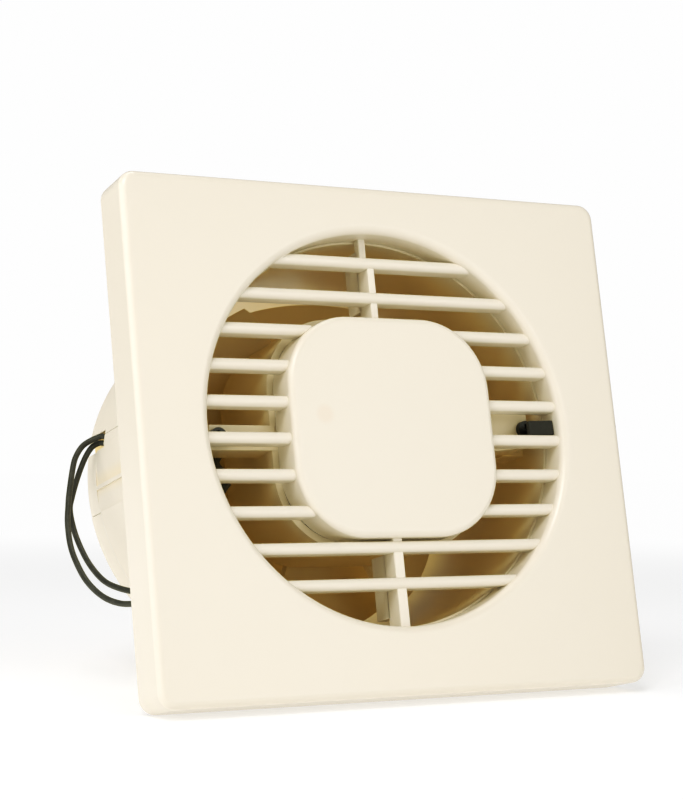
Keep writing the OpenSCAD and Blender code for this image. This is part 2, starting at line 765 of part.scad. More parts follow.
module cord_clamp() {
    color(PALE) difference() {
        translate([clamp_x, 0, clamp_z]) slab_y(-8.8, -6.5) round_rect(23, 7, 3);
        for (dx = [-1, 1]) translate([clamp_x + dx * 8, 0, clamp_z]) disc_y(-10, -5, 1.4);
    }
}

module clamp_screws() {
    color(STEEL) for (dx = [-1, 1]) screw_y(clamp_x + dx * 8, clamp_z, -8.8, 2.2, 7, 4.4, 1.6);
}

front_grille();
grille_buffer();
housing();
lead_cover();
motor_carrier();
carrier_screws();
front_bracket();
rear_bracket();
stator_core();
pole_bobbins();
pole_windings();
shading_rings();
thermal_fuse();
rotor_core();
rotor_cage();
shaft();
front_bush();
rear_bush();
oil_felts();
thrust_washers();
motor_bolts();
motor_nuts();
impeller();
impeller_nut();
coil_leads();
lead_sleeve();
channel_leads();
lead_a();
lead_b();
lead_tails();
lead_tips();
terminal_block();
terminal_tubes();
terminal_screws();
block_screw();
cord_clamp();
clamp_screws();
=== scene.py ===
"""Bathroom extractor fan with a square slatted front, standing tilted back on its lower edge."""

import math

import bmesh
import bpy
from mathutils import Matrix, Vector


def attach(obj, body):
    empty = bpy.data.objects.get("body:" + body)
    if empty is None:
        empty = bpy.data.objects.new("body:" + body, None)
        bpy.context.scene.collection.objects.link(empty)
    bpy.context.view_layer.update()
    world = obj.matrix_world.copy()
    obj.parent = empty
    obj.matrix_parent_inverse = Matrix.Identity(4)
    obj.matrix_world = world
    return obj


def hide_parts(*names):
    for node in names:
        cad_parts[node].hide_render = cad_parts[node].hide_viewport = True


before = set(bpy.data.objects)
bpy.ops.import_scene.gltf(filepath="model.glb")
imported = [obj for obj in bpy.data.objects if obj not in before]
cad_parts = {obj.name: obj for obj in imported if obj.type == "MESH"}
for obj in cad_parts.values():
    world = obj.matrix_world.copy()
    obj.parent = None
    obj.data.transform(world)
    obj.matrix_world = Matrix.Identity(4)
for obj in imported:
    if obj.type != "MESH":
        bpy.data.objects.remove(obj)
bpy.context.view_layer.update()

MM = 0.001


def add_object(name, data):
    """Puts new data into the scene as an object."""
    made = bpy.data.objects.new(name, data)
    bpy.context.scene.collection.objects.link(made)
    return made


# ---------- camera ----------

LENS_MM = 88.4
CAMERA_AT = Vector((-263.8, -470.8, -106.8))
CAMERA_RIGHT = Vector((0.882, -0.462, -0.094))
CAMERA_DOWN = Vector((-0.004, 0.193, -0.981))
CAMERA_SHIFT = (-0.0123, 0.1131)


def make_camera():
    """Three-quarter view from the lower left, close to the table's top."""
    data = bpy.data.cameras.new("camera")
    data.lens = LENS_MM
    data.sensor_width = 36.0
    data.shift_x, data.shift_y = CAMERA_SHIFT
    data.clip_start = 0.01
    data.clip_end = 50.0
    camera = add_object("camera", data)
    right = CAMERA_RIGHT.normalized()
    back = right.cross(-CAMERA_DOWN).normalized()
    up = back.cross(right)
    turn = Matrix((right, up, back)).transposed()
    camera.matrix_world = Matrix.Translation(CAMERA_AT * MM) @ turn.to_4x4()
    bpy.context.scene.camera = camera


# ---------- leads ----------

LEAD_D = 1.7
LEAD_STEPS = 6          # points made for each stretch of a route
LEAD_A_ROUTE = [
    (-54.7, 64, 14), (-57.4, 65.8, 13), (-60.2, 66, 11.2), (-62.8, 65.2, 7.8),
    (-64.5, 64, 3.8), (-67.2, 61, -4.1), (-68.5, 59, -8.3), (-70.1, 56, -13.5), (-71.6, 51, -20.7),
    (-72, 46, -26.6), (-71.2, 41, -32.7), (-69.3, 35, -37.8), (-67.4, 28, -40.8), (-65.8, 21, -42),
    (-64, 14, -42.2), (-62.6, 8, -41.5), (-62, 4, -41), (-62, 0, -41),
]
LEAD_B_ROUTE = [
    (-54.6, 66.4, 12.4), (-56.8, 67.2, 11.2), (-59.2, 67.5, 7.7), (-62, 67, 2),
    (-64.6, 66, -4.3), (-65.8, 65, -8.1), (-66.2, 62, -14.2), (-66.4, 57, -20.4), (-66.2, 51, -26.5),
    (-65.6, 43, -32.2), (-64.5, 35, -35.6), (-62.6, 26, -38.2), (-60.4, 17, -40), (-58.2, 9, -41),
    (-57, 4, -41), (-57, 0, -41),
]


def smooth_route(points, count):
    """Catmull-Rom curve through the route's points, as the CAD sweeps it."""
    route = [Vector(p) for p in points]
    last = len(route) - 1
    out = []
    for i in range(last):
        a, b, c, d = (route[max(i - 1, 0)], route[i], route[i + 1], route[min(i + 2, last)])
        for step in range(count):
            t = step / count
            out.append(0.5 * (2 * b + t * (c - a) + t * t * (2 * a - 5 * b + 4 * c - d)
                              + t * t * t * (3 * b - a - 3 * c + d)))
    out.append(route[last])
    return out


def make_lead(name, points):
    """One free lead: a round curve from the channel's way out to the hole in the flange."""
    route = smooth_route(points, LEAD_STEPS)
    length = sum((q - p).length for p, q in zip(route, route[1:]))
    data = bpy.data.curves.new(name, "CURVE")
    data.dimensions = "3D"
    data.bevel_depth = 1.0
    data.bevel_resolution = 5
    data.use_fill_caps = True
    spline = data.splines.new("POLY")
    spline.points.add(len(route) - 1)
    for point, place in zip(spline.points, route):
        point.co = (*(place * MM), 1.0)
        point.radius = LEAD_D / 2 * MM
    spline.use_smooth = True
    lead = add_object(name + "_insulation", data)
    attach(lead, "fixed")
    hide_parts(name)
    tuple(route[0] * MM)
    data.materials.append(lead_plastic())


# ---------- shader helper ----------


class Socket:
    """A shader node's output. Arithmetic on it adds Math nodes."""

    def __init__(self, shader, output):
        self.shader = shader
        self.output = output

    def _math(self, operation, first, second):
        return self.shader.node("ShaderNodeMath", {"operation": operation}, {0: first, 1: second})

    def __add__(self, other):
        return self._math("ADD", self, other)

    def __radd__(self, other):
        return self._math("ADD", other, self)

    def __sub__(self, other):
        return self._math("SUBTRACT", self, other)

    def __rsub__(self, other):
        return self._math("SUBTRACT", other, self)

    def __mul__(self, other):
        return self._math("MULTIPLY", self, other)

    def __rmul__(self, other):
        return self._math("MULTIPLY", other, self)

    def __pow__(self, other):
        return self._math("POWER", self, other)

    def part(self, name):
        """Another output of the same node."""
        return Socket(self.shader, self.output.node.outputs[name])


class Shader:
    """One material and its nodes."""

    def __init__(self, name):
        self.material = bpy.data.materials.new(name)
        self.material.use_nodes = True
        self.tree = self.material.node_tree
        self.tree.nodes.clear()
        self.place = self.node("ShaderNodeTexCoord").part("Object")

    def node(self, kind, settings=None, inputs=None):
        """Adds a node, sets its settings first and then its sockets, and returns its first output."""
        node = self.tree.nodes.new(kind)
        for key, value in (settings or {}).items():
            setattr(node, key, value)
        for key, value in (inputs or {}).items():
            socket = node.inputs[key]
            if isinstance(value, Socket):
                self.tree.links.new(value.output, socket)
            else:
                socket.default_value = value
        return Socket(self, node.outputs[0]) if node.outputs else None

    def axes(self):
        """The place's X, Y and Z."""
        split = self.node("ShaderNodeSeparateXYZ", {}, {0: self.place})
        return [split.part(axis) for axis in "XYZ"]

    def noise(self, scale, detail=2.0, rough=0.5):
        """Fractal noise of a given scale in 1/m, from 0 to 1."""
        return self.node("ShaderNodeTexNoise", {"noise_dimensions": "3D"},
                         {"Vector": self.place, "Scale": scale, "Detail": detail, "Roughness": rough})

    def mix(self, factor, first, second):
        """Blend of two colours."""
        node = self.tree.nodes.new("ShaderNodeMix")
        node.data_type = "RGBA"
        for index, value in ((0, factor), (6, first), (7, second)):
            if isinstance(value, Socket):
                self.tree.links.new(value.output, node.inputs[index])
            elif index == 0:
                node.inputs[index].default_value = value
            else:
                node.inputs[index].default_value = (*value, 1.0)
        return Socket(self, node.outputs[2])

    def between(self, value, low, high, out_low=0.0, out_high=1.0):
        """Smooth step of a value from low to high."""
        return self.node("ShaderNodeMapRange", {"interpolation_type": "SMOOTHSTEP"},
                         {"Value": value, "From Min": low, "From Max": high,
                          "To Min": out_low, "To Max": out_high})

    def bump(self, height, depth_m, strength):
        """Bump of a height from 0 to 1, that is depth_m deep."""
        return self.node("ShaderNodeBump", {},
                         {"Height": height, "Distance": depth_m, "Strength": strength})

    def glow(self, strength):
        """White light from the surface itself."""
        return self.node("ShaderNodeEmission", {}, {"Color": (1, 1, 1, 1), "Strength": strength})

    def output(self, shader):
        """Ends the material with a finished shader."""
        self.node("ShaderNodeOutputMaterial", {}, {"Surface": shader})
        return self.material

    def surface(self, **sockets):
        """The material's own surface. Names of sockets are written with underscores."""
        inputs = {key.replace("_", " "): value for key, value in sockets.items()}
        for key, value in inputs.items():
            if key.endswith("Color") and not isinstance(value, Socket):
                inputs[key] = (*value, 1.0)
        return self.output(self.node("ShaderNodeBsdfPrincipled", {}, inputs))


_made = {}


def once(maker):
    """Keeps one material for each finish."""
    def kept():
        if maker.__name__ not in _made:
            _made[maker.__name__] = maker()
        return _made[maker.__name__]
    return kept


# ---------- finishes ----------

CREAM = (0.83, 0.765, 0.65)
DUCT_CREAM = (0.83, 0.761175, 0.637)
BLADE_CREAM = (0.84, 0.70, 0.46)
INNER_PAINTED_SHADE = (0.90, 0.71, 0.36)    # painted shade: deeper, warmer colour on the surfaces inside the duct, standing in for the shade and warm inter-reflected light there
INNER_EDGE_R = (0.0550, 0.0556)     # from the duct's axis, in metres
INNER_EDGE_Y = (-0.0095, 0.006)
# painted shade of a shallow sink dent over the boss behind the middle panel
MARK_X, MARK_Z = -0.021, 0.003
MARK_R = (0.0014, 0.0034)
SINK_SHADE_DEPTH = 0.32
SINK_SHADE_COLOUR = (0.80, 0.66, 0.52)
MOTTLE = 0.03


def tinted(colour, factors):
    """A colour with each of its channels scaled."""
    return tuple(min(c * k, 1.0) for c, k in zip(colour, factors))


def painted_shade_inside(s):
    """Mask of the painted shade: 1 on the surfaces inside the duct, 0 on the outside and at the front.
    """
    x, y, z = s.axes()
    from_axis = (x * x + z * z) ** 0.5
    return s.between(from_axis, *INNER_EDGE_R, 1.0, 0.0) * s.between(y, *INNER_EDGE_Y)


def painted_sink_shade(s, tone):
    """Painted shade of a faint round sink dent on the middle panel, over the moulding's boss behind it;
    the mesh there stays flat.
    """
    x, _, z = s.axes()
    x, z = x - MARK_X, z - MARK_Z
    from_mark = (x * x + z * z) ** 0.5
    return s.mix(s.between(from_mark, *MARK_R, SINK_SHADE_DEPTH, 0.0), tone, SINK_SHADE_COLOUR)


def moulded_cream(name, colour, rough, inner_shade=None, details=None):
    """Injection-moulded cream plastic: slow drift in tone and gloss, with fine specks, and optional
    painted shade on the surfaces inside the duct.
    """
    s = Shader(name)
    drift = s.noise(14.0, 2.0, 0.4)
    speck = s.noise(900.0, 2.0, 0.6)
    warm = tinted(colour, (1.0, 0.996, 0.988))
    pale = tinted(colour, (1.0, 1.003, 1.008))
    tone = s.mix(s.between(drift, 0.2, 0.8), warm, pale)
    tone = s.mix((speck - 0.5) * MOTTLE + MOTTLE, tone, tinted(colour, (0.88, 0.88, 0.88)))
    # painted shade: surfaces inside the duct take the deeper painted-shade colour
    if inner_shade is not None:
        tone = s.mix(painted_shade_inside(s), tone, inner_shade)
    if details is not None:
        tone = details(s, tone)
    return s.surface(Base_Color=tone, Roughness=rough + (drift - 0.5) * 0.04, IOR=1.48)


@once
def front_cream():
    return moulded_cream("front_cream", CREAM, 0.26, details=painted_sink_shade)


@once
def duct_cream():
    return moulded_cream("duct_cream", DUCT_CREAM, 0.34, inner_shade=INNER_PAINTED_SHADE)


@once
def blade_cream():
    return moulded_cream("blade_cream", BLADE_CREAM, 0.3, inner_shade=INNER_PAINTED_SHADE)


@once
def ivory_nylon():
    return moulded_cream("ivory_nylon", (0.80, 0.77, 0.68), 0.42)


@once
def lead_plastic():
    """Soft black insulation with a dull sheen."""
    s = Shader("lead_plastic")
    dust = s.between(s.noise(260.0, 3.0, 0.6), 0.4, 0.75)
    tone = s.mix(dust, (0.035, 0.036, 0.036), (0.06, 0.06, 0.058))
    return s.surface(Base_Color=tone, Roughness=0.42 + dust * 0.15,
                     Normal=s.bump(s.noise(900.0), 0.00002, 0.4))


@once
def buffer_rubber():
    """Matt black rubber with a fine grain."""
    s = Shader("buffer_rubber")
    grain = s.noise(1500.0, 3.0, 0.7)
    tone = s.mix(grain, (0.012, 0.012, 0.012), (0.035, 0.034, 0.032))
    return s.surface(Base_Color=tone, Roughness=0.6 + grain * 0.2, Normal=s.bump(grain, 0.00005, 0.6))


def plain_metal(name, colour, rough, grain_scale=900.0):
    """Metal with a fine grain and slight tarnish."""
    s = Shader(name)
    grain = s.noise(grain_scale, 3.0, 0.6)
    patch = s.between(s.noise(120.0, 3.0, 0.6), 0.5, 0.8)
    dull = tinted(colour, (0.6, 0.55, 0.5))
    return s.surface(Base_Color=s.mix(patch * 0.5, colour, dull), Metallic=1.0,
                     Roughness=rough + grain * 0.12 + patch * 0.1, Normal=s.bump(grain, 0.00001, 0.4))


@once
def zinc_steel():
    return plain_metal("zinc_steel", (0.60, 0.61, 0.63), 0.28)


@once
def black_steel():
    """Black-oxide screws."""
    return plain_metal("black_steel", (0.06, 0.06, 0.062), 0.35)


@once
def cast_aluminium():
    return plain_metal("cast_aluminium", (0.68, 0.69, 0.70), 0.38, 500.0)


@once
def copper():
    return plain_metal("copper", (0.80, 0.42, 0.26), 0.3)


@once
def bearing_bronze():
    return plain_metal("bearing_bronze", (0.55, 0.38, 0.20), 0.45, 1600.0)


@once
def turned_brass():
    return plain_metal("turned_brass", (0.80, 0.62, 0.28), 0.26)


@once
def laminated_steel():
    """Stack of thin steel sheets: fine lines across the stack's thickness."""
    s = Shader("laminated_steel")
    lines = s.node("ShaderNodeTexWave", {"wave_type": "BANDS", "bands_direction": "Y"},
                   {"Vector": s.place, "Scale": 320.0, "Distortion": 0.0}).part("Fac")
    rust = s.between(s.noise(160.0, 4.0, 0.6), 0.52, 0.8)
    tone = s.mix(rust * 0.6, (0.20, 0.205, 0.215), (0.16, 0.09, 0.05))
    return s.surface(Base_Color=tone, Metallic=0.9 - rust * 0.5, Roughness=0.42 + rust * 0.25,
                     Normal=s.bump(lines, 0.00008, 0.7))


@once
def enamelled_wire():
    """Copper winding wire under dark red enamel."""
    s = Shader("enamelled_wire")
    lines = s.node("ShaderNodeTexWave", {"wave_type": "BANDS", "bands_direction": "DIAGONAL"},
                   {"Vector": s.place, "Scale": 420.0, "Distortion": 1.5, "Detail": 2.0}).part("Fac")
    tone = s.mix(lines, (0.16, 0.035, 0.012), (0.45, 0.13, 0.05))
    return s.surface(Base_Color=tone, Metallic=0.35, Roughness=0.3,
                     Normal=s.bump(lines, 0.0001, 0.8))


@once
def oiled_felt():
    """Wool felt, darkened by oil in places."""
    s = Shader("oiled_felt")
    fibre = s.noise(1400.0, 5.0, 0.8)
    tone = s.mix(fibre, (0.42, 0.36, 0.24), (0.66, 0.60, 0.46))
    return s.surface(Base_Color=tone, Roughness=0.9, Normal=s.bump(fibre, 0.0002, 0.8))


NODE_FINISH = {
    "front_grille": front_cream, "grille_buffer": buffer_rubber, "housing": duct_cream,
    "lead_cover": duct_cream, "motor_carrier": duct_cream, "carrier_screws": black_steel,
    "front_bracket": zinc_steel, "rear_bracket": zinc_steel, "stator_core": laminated_steel,
    "pole_bobbins": ivory_nylon, "pole_windings": enamelled_wire, "shading_rings": copper,
    "thermal_fuse": lead_plastic, "rotor_core": laminated_steel, "rotor_cage": cast_aluminium,
    "shaft": zinc_steel, "front_bush": bearing_bronze, "rear_bush": bearing_bronze,
    "oil_felts": oiled_felt, "thrust_washers": ivory_nylon, "motor_bolts": zinc_steel,
    "motor_nuts": zinc_steel, "impeller": blade_cream, "impeller_nut": zinc_steel,
    "coil_leads": lead_plastic, "lead_sleeve": lead_plastic, "channel_leads": lead_plastic,
    "lead_a": lead_plastic, "lead_b": lead_plastic, "lead_tails": lead_plastic, "lead_tips": zinc_steel,
    "terminal_block": ivory_nylon, "terminal_tubes": turned_brass, "terminal_screws": zinc_steel,
    "block_screw": zinc_steel, "cord_clamp": ivory_nylon, "clamp_screws": zinc_steel,
}


def finish_cad_nodes():
    """Gives each CAD node its finish."""
    for name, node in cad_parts.items():
        node.data.materials.clear()
        node.data.materials.append(NODE_FINISH[name]())


# ---------- mesh tools ----------

NEAR = 1e-4             # mm; points closer than this count as one
SMOOTH_ANGLE = 38.0     # sharper edges than this stay sharp


def steps(first, last, count):
    """Evenly spaced values from first to last, both included."""
    return [first + (last - first) * i / count for i in range(count + 1)]


def rotate(bm, verts, angle, axis, centre=(0, 0, 0)):
    """Turns points about an axis through a centre."""
    bmesh.ops.rotate(bm, cent=centre, matrix=Matrix.Rotation(angle, 3, axis), verts=verts)


def turned_to_room(bm, verts, y):
    """Turns a flat shape drawn in X and Y so that it faces the room, in the plane y."""
    rotate(bm, verts, math.radians(90), "X")
    bmesh.ops.translate(bm, vec=(0, y, 0), verts=verts)


def flat_at(bm, y):
    """The faces that lie wholly in the plane y."""
    return [f for f in bm.faces if all(abs(v.co.y - y) < NEAR for v in f.verts)]


def edges_at(bm, y, most_faces=math.inf):
    """The edges that lie in the plane y and have no more than so many faces on them."""
    return [e for e in bm.edges if all(abs(v.co.y - y) < NEAR for v in e.verts)
            and len(e.link_faces) <= most_faces]


def ease(bm, edges, radius, segments=3):
    """Rounds edges."""
    bmesh.ops.bevel(bm, geom=edges, offset=radius, offset_type="OFFSET", segments=segments,
                    profile=0.5, affect="EDGES", clamp_overlap=True, material=-1)


def of_kind(made, kind):
    """The verts, edges or faces among what an operator made."""
    return [g for g in made["geom"] if isinstance(g, kind)]


def deepen(bm, face, y):
    """Extrudes a face along the duct's axis to the plane y."""
    made = bmesh.ops.extrude_face_region(bm, geom=[face])
    for v in of_kind(made, bmesh.types.BMVert):
        v.co.y = y


def tray(size, radius, front_y, back_y, fillet, wall, floor, centre, corner_steps):
    """Rounded box that is open at the back, with its front edge filleted."""
    bm = bmesh.new()
    verts = bmesh.ops.create_grid(bm, x_segments=1, y_segments=1, size=0.5)["verts"]
    bmesh.ops.scale(bm, vec=(*size, 1), verts=verts)
    bmesh.ops.bevel(bm, geom=verts, offset=radius, offset_type="OFFSET", segments=corner_steps,
                    profile=0.5, affect="VERTICES", material=-1)
    turned_to_room(bm, bm.verts, front_y)
    bmesh.ops.translate(bm, vec=(centre[0], 0, centre[1]), verts=bm.verts)
    deepen(bm, bm.faces[:][0], back_y)
    if not flat_at(bm, front_y):
        bmesh.ops.edgeloop_fill(bm, edges=edges_at(bm, front_y))
    bmesh.ops.recalc_face_normals(bm, faces=bm.faces)
    ease(bm, edges_at(bm, front_y), fillet, 6)
    back = flat_at(bm, back_y)
    bmesh.ops.inset_region(bm, faces=back, thickness=wall, use_even_offset=True)
    deepen(bm, back[0], front_y + floor)
    mouth = [f for f in flat_at(bm, back_y) if len(f.verts) > 4]
    bmesh.ops.delete(bm, geom=mouth, context="FACES_ONLY")
    return bm


def block(low, high):
    """Box from one corner to the opposite one, to be eased and joined to a piece."""
    bm = bmesh.new()
    bmesh.ops.create_cube(bm, size=1.0)
    bmesh.ops.scale(bm, vec=[b - a for a, b in zip(low, high)], verts=bm.verts)
    bmesh.ops.translate(bm, vec=[(a + b) / 2 for a, b in zip(low, high)], verts=bm.verts)
    return bm


def along(bm, axis, y_from=-math.inf, y_to=math.inf):
    """Edges that run along an axis, with their middle between two places along the duct."""
    def fits(e):
        a, b = (v.co for v in e.verts)
        return abs((b - a).normalized()[axis]) >= 0.99 and y_from <= (a.y + b.y) / 2 <= y_to
    return [e for e in bm.edges if fits(e)]


def join(parts):
    """Puts several closed shells into one mesh."""
    whole = bmesh.new()
    for part in parts:
        mesh = bpy.data.meshes.new("part")
        part.to_mesh(mesh)
        part.free()
        whole.from_mesh(mesh)
        bpy.data.meshes.remove(mesh)
    return whole


def make_piece(name, bm, body, finish, replaces):
    """Turns a mesh in millimetres into a piece that rides on a body."""
    bmesh.ops.remove_doubles(bm, verts=bm.verts, dist=NEAR)
    bmesh.ops.recalc_face_normals(bm, faces=bm.faces)
    bmesh.ops.scale(bm, vec=(MM, MM, MM), verts=bm.verts)
    mesh = bpy.data.meshes.new(name)
    bm.to_mesh(mesh)
    bm.free()
    mesh.shade_smooth()
    mesh.set_sharp_from_angle(angle=math.radians(SMOOTH_ANGLE))
    piece = add_object(name, mesh)
    even = piece.modifiers.new("even_shading", "WEIGHTED_NORMAL")
    even.keep_sharp = True
    mesh.materials.append(finish())
    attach(piece, body)
    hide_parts(*replaces)


# ---------- front grille ----------

FACE_Y = -14.5
FRONT_W, FRONT_H, FRONT_Z, FRONT_R = 150.0, 142.0, -2.8, 4.5
FRONT_WALL = 2.2
FRONT_FILLET = 2.0
OPENING_R = 55.0
OPENING_SEGMENTS = 160
LIP = 2.3                # the opening's rounded edge
LIP_STEPS = 7
RING_BACK = -5.3
RING_T = 2.0
RING_EASE = 0.15
HUB_W, HUB_H, HUB_X, HUB_R = 63.0, 61.6, 0.7, 20.0
HUB_BACK = -3.9
HUB_WALL = 2.0
HUB_FILLET = 1.7
BAR_COUNT = 10
BAR_T, BAR_DEPTH, BAR_PITCH, BAR_LIFT = 3.2, 5.4, 10.0, 1.9
BAR_FRONT = FACE_Y + 1.8
BAR_INTO_RING = 1.8
RIB_X, RIB_BACK = -1.0, 1.5
RIB_TOP_FRONT = -8.0     # above the top bar the rib is set back
CUP_Z = (34.5, 51.9)     # stretch of a rib that passes the motor's cup
SNAP_X, SNAP_W, SNAP_T = 44.0, 9.0, 1.8
SNAP_INSET = 6.5


def front_plate():
    """Square plate and skirt, with the round opening and the ring behind it."""
    bm = tray((FRONT_W, FRONT_H), FRONT_R, FACE_Y, 0.0, FRONT_FILLET, FRONT_WALL, FRONT_WALL,
              (0, FRONT_Z), 10)
    floor_y = FACE_Y + FRONT_WALL
    bmesh.ops.delete(bm, geom=flat_at(bm, FACE_Y) + flat_at(bm, floor_y), context="FACES_ONLY")
    rim = bmesh.ops.create_circle(bm, cap_ends=False, segments=OPENING_SEGMENTS,
                                  radius=OPENING_R + LIP)["verts"]
    turned_to_room(bm, rim, FACE_Y)
    bmesh.ops.triangle_fill(bm, use_beauty=True, edges=edges_at(bm, FACE_Y, 1), normal=(0, -1, 0))
    outer_r = OPENING_R + RING_T
    profile = [(OPENING_R + LIP * (1 - math.sin(t)), FACE_Y + LIP * (1 - math.cos(t)))
               for t in steps(0, math.pi / 2, LIP_STEPS)[1:]]
    profile += [(OPENING_R, RING_BACK - RING_EASE), (OPENING_R + RING_EASE, RING_BACK),
                (outer_r - RING_EASE, RING_BACK), (outer_r, RING_BACK - RING_EASE), (outer_r, floor_y)]
    loop = [e for e in edges_at(bm, FACE_Y) if e.is_boundary]
    radius = OPENING_R + LIP
    for next_radius, y in profile:
        made = bmesh.ops.extrude_edge_only(bm, edges=loop)
        loop = of_kind(made, bmesh.types.BMEdge)
        verts = of_kind(made, bmesh.types.BMVert)
        bmesh.ops.scale(bm, vec=(next_radius / radius, 1, next_radius / radius), verts=verts)
        for v in verts:
            v.co.y = y
        radius = next_radius
    bmesh.ops.triangle_fill(bm, use_beauty=True, edges=edges_at(bm, floor_y, 1), normal=(0, 1, 0))
    return bm


def hub_edge(z):
    """Half width of the middle panel at a height, less half its wall; None above and below it."""
    half_wall = HUB_WALL / 2
    if abs(z) > HUB_H / 2 - half_wall:
        return None
    over = max(abs(z) - (HUB_H / 2 - HUB_R), 0)
    return HUB_W / 2 - half_wall - (HUB_R - math.sqrt(HUB_R ** 2 - over ** 2))


def bar(z, x0, x1):
    """Strip with a round nose towards the room."""
    back = BAR_FRONT + BAR_DEPTH
    bm = block((x0, BAR_FRONT, z - BAR_T / 2), (x1, back, z + BAR_T / 2))
    ease(bm, along(bm, 0, y_to=BAR_FRONT + BAR_DEPTH / 2), BAR_T / 2 - 0.05, 6)
    ease(bm, along(bm, 0, y_from=back - 0.1), 0.3, 2)
    return bm


def bar_z(number):
    """Height of a bar's middle, counted from the top."""
    return BAR_LIFT + ((BAR_COUNT - 1) / 2 - number) * BAR_PITCH


def rib(side, thickness):
    """Upright rib between the middle panel and the ring, deeper where it passes the motor's cup."""
    parts = []
    last_bar = side * bar_z(0 if side > 0 else BAR_COUNT - 1)
    front_y = BAR_FRONT + 1
    stretches = ((HUB_H / 2 - HUB_WALL / 2, last_bar, front_y, RING_BACK),
                 (last_bar - 1, OPENING_R + 0.9, RIB_TOP_FRONT if side > 0 else front_y, RING_BACK),
                 (*CUP_Z, RING_BACK - 1, RIB_BACK))
    for low_z, high_z, front, back in stretches:
        z = sorted((side * low_z, side * high_z))
        part = block((RIB_X - thickness / 2, front, z[0]), (RIB_X + thickness / 2, back, z[1]))
        ease(part, along(part, 2), 0.35, 3)
        parts.append(part)
    return parts


def make_front_grille():
    """The whole front: plate, middle panel, bars, ribs and the four snap tongues."""
    hub_panel = tray((HUB_W, HUB_H), HUB_R, FACE_Y, HUB_BACK, HUB_FILLET, HUB_WALL, HUB_WALL,
                     (HUB_X, 0), 18)
    parts = [front_plate(), hub_panel]
    for number in range(BAR_COUNT):
        z = bar_z(number)
        reach = math.sqrt((OPENING_R + BAR_INTO_RING) ** 2 - z * z)
        hub = hub_edge(z)
        if hub is None:
            parts.append(bar(z, -reach, reach))
        else:
            parts.append(bar(z, -reach, HUB_X - hub))
            parts.append(bar(z, HUB_X + hub, reach))
    parts += rib(1, 2.2) + rib(-1, 3.0)
    for x in (-SNAP_X, SNAP_X):
        for side in (-1, 1):
            z = FRONT_Z + side * (FRONT_H / 2 - SNAP_INSET)
            tongue = block((x - SNAP_W / 2, FACE_Y + 2.1, z - SNAP_T / 2),
                           (x + SNAP_W / 2, 0, z + SNAP_T / 2))
            ease(tongue, along(tongue, 1), 0.3, 2)
            parts.append(tongue)
    make_piece("slatted_front", join(parts), "front_cover", front_cream, ["front_grille"])


def make_buffer():
    """Small black rubber block on a bar, pushed in a little askew."""
    top = bar_z(5) + BAR_T / 2
    bm = block((46.4, -10.9, top + 0.15), (54.6, -9.3, top + 4.4))
    ease(bm, bm.edges[:], 0.28, 3)
    rotate(bm, bm.verts, math.radians(-1.5), "Y", (50, -10, top + 2))
    make_piece("rubber_buffer", bm, "front_cover", buffer_rubber, ["grille_buffer"])


# ---------- impeller ----------

SPIN_SEGMENTS = 96
HUB_RIBS = 6
BLADES = 8
BLADE_ROOT_R, BLADE_REACH = 20.2, 29.4
BLADE_MIDDLE_Y = 42.5
BLADE_T = 1.4
BLADE_REST_TURN = -0.1   # of the angle between two blades
ROOT_PITCH, PITCH_DROP = 37, 16        # degrees
ROOT_HALF_WIDTH, WIDTH_GAIN = 16.5, 10.5
CAMBER = 2.0


def turned(profile):
    """Solid of revolution about the duct's axis from (radius, y) points; a closed outline."""
    bm = bmesh.new()
    verts = [bm.verts.new((r, y, 0)) for r, y in profile]
    edges = [bm.edges.new((a, b)) for a, b in zip(verts, verts[1:] + verts[:1])]
    bmesh.ops.spin(bm, geom=verts + edges, cent=(0, 0, 0), axis=(0, 1, 0), angle=math.tau,
                   steps=SPIN_SEGMENTS, use_merge=True, use_duplicate=False)
    bmesh.ops.remove_doubles(bm, verts=bm.verts, dist=NEAR)
    return bm


def blade(turn):
    """One cambered blade, steeper at its root than at its tip."""
    bm = bmesh.new()
    bmesh.ops.create_grid(bm, x_segments=14, y_segments=16, size=0.5)
    for v in bm.verts:
        out, across = v.co.x + 0.5, v.co.y * 2
        radius = BLADE_ROOT_R + out * BLADE_REACH
        pitch = math.radians(ROOT_PITCH - PITCH_DROP * out)
        # the corners are drawn in a little at the root and at the tip
        half = (ROOT_HALF_WIDTH + WIDTH_GAIN * out) * (1 - 0.08 * (2 * out - 1) ** 4)
        chord = across * half
        bulge = CAMBER * (1 - across * across) - CAMBER / 2
        angle = (chord * math.cos(pitch) - bulge * math.sin(pitch)) / radius
        y = BLADE_MIDDLE_Y + chord * math.sin(pitch) + bulge * math.cos(pitch)
        v.co = (radius * math.cos(angle), y, radius * math.sin(angle))
    bmesh.ops.recalc_face_normals(bm, faces=bm.faces)
    bmesh.ops.solidify(bm, geom=bm.faces[:], thickness=BLADE_T)
    bmesh.ops.recalc_face_normals(bm, faces=bm.faces)
    rotate(bm, bm.verts, turn, "Y")
    return bm


def make_impeller():
    """Hub cup with a central boss and six ribs, and eight broad blades."""
    cup = turned([(2.02, 30.5), (19.5, 30.5), (20.56, 30.94), (21, 32), (21, 54), (20.7, 54.4),
                  (19.5, 54.4), (19.2, 54), (19.2, 33.2), (18.4, 32.3), (5.8, 32.3), (5, 33),
                  (5, 54.1), (4.6, 54.5), (2.02, 54.5)])
    parts = [cup]
    for i in range(HUB_RIBS):
        web = block((4.5, 32, -0.6), (19.6, 49.5, 0.6))
        ease(web, along(web, 0, y_from=49), 0.3, 2)
        rotate(web, web.verts, i * math.tau / HUB_RIBS, "Y")
        parts.append(web)
    parts += [blade((i + BLADE_REST_TURN) * math.tau / BLADES) for i in range(BLADES)]
    make_piece("bladed_impeller", join(parts), "fan_rotor", blade_cream, ["impeller"])


# ---------- studio ----------

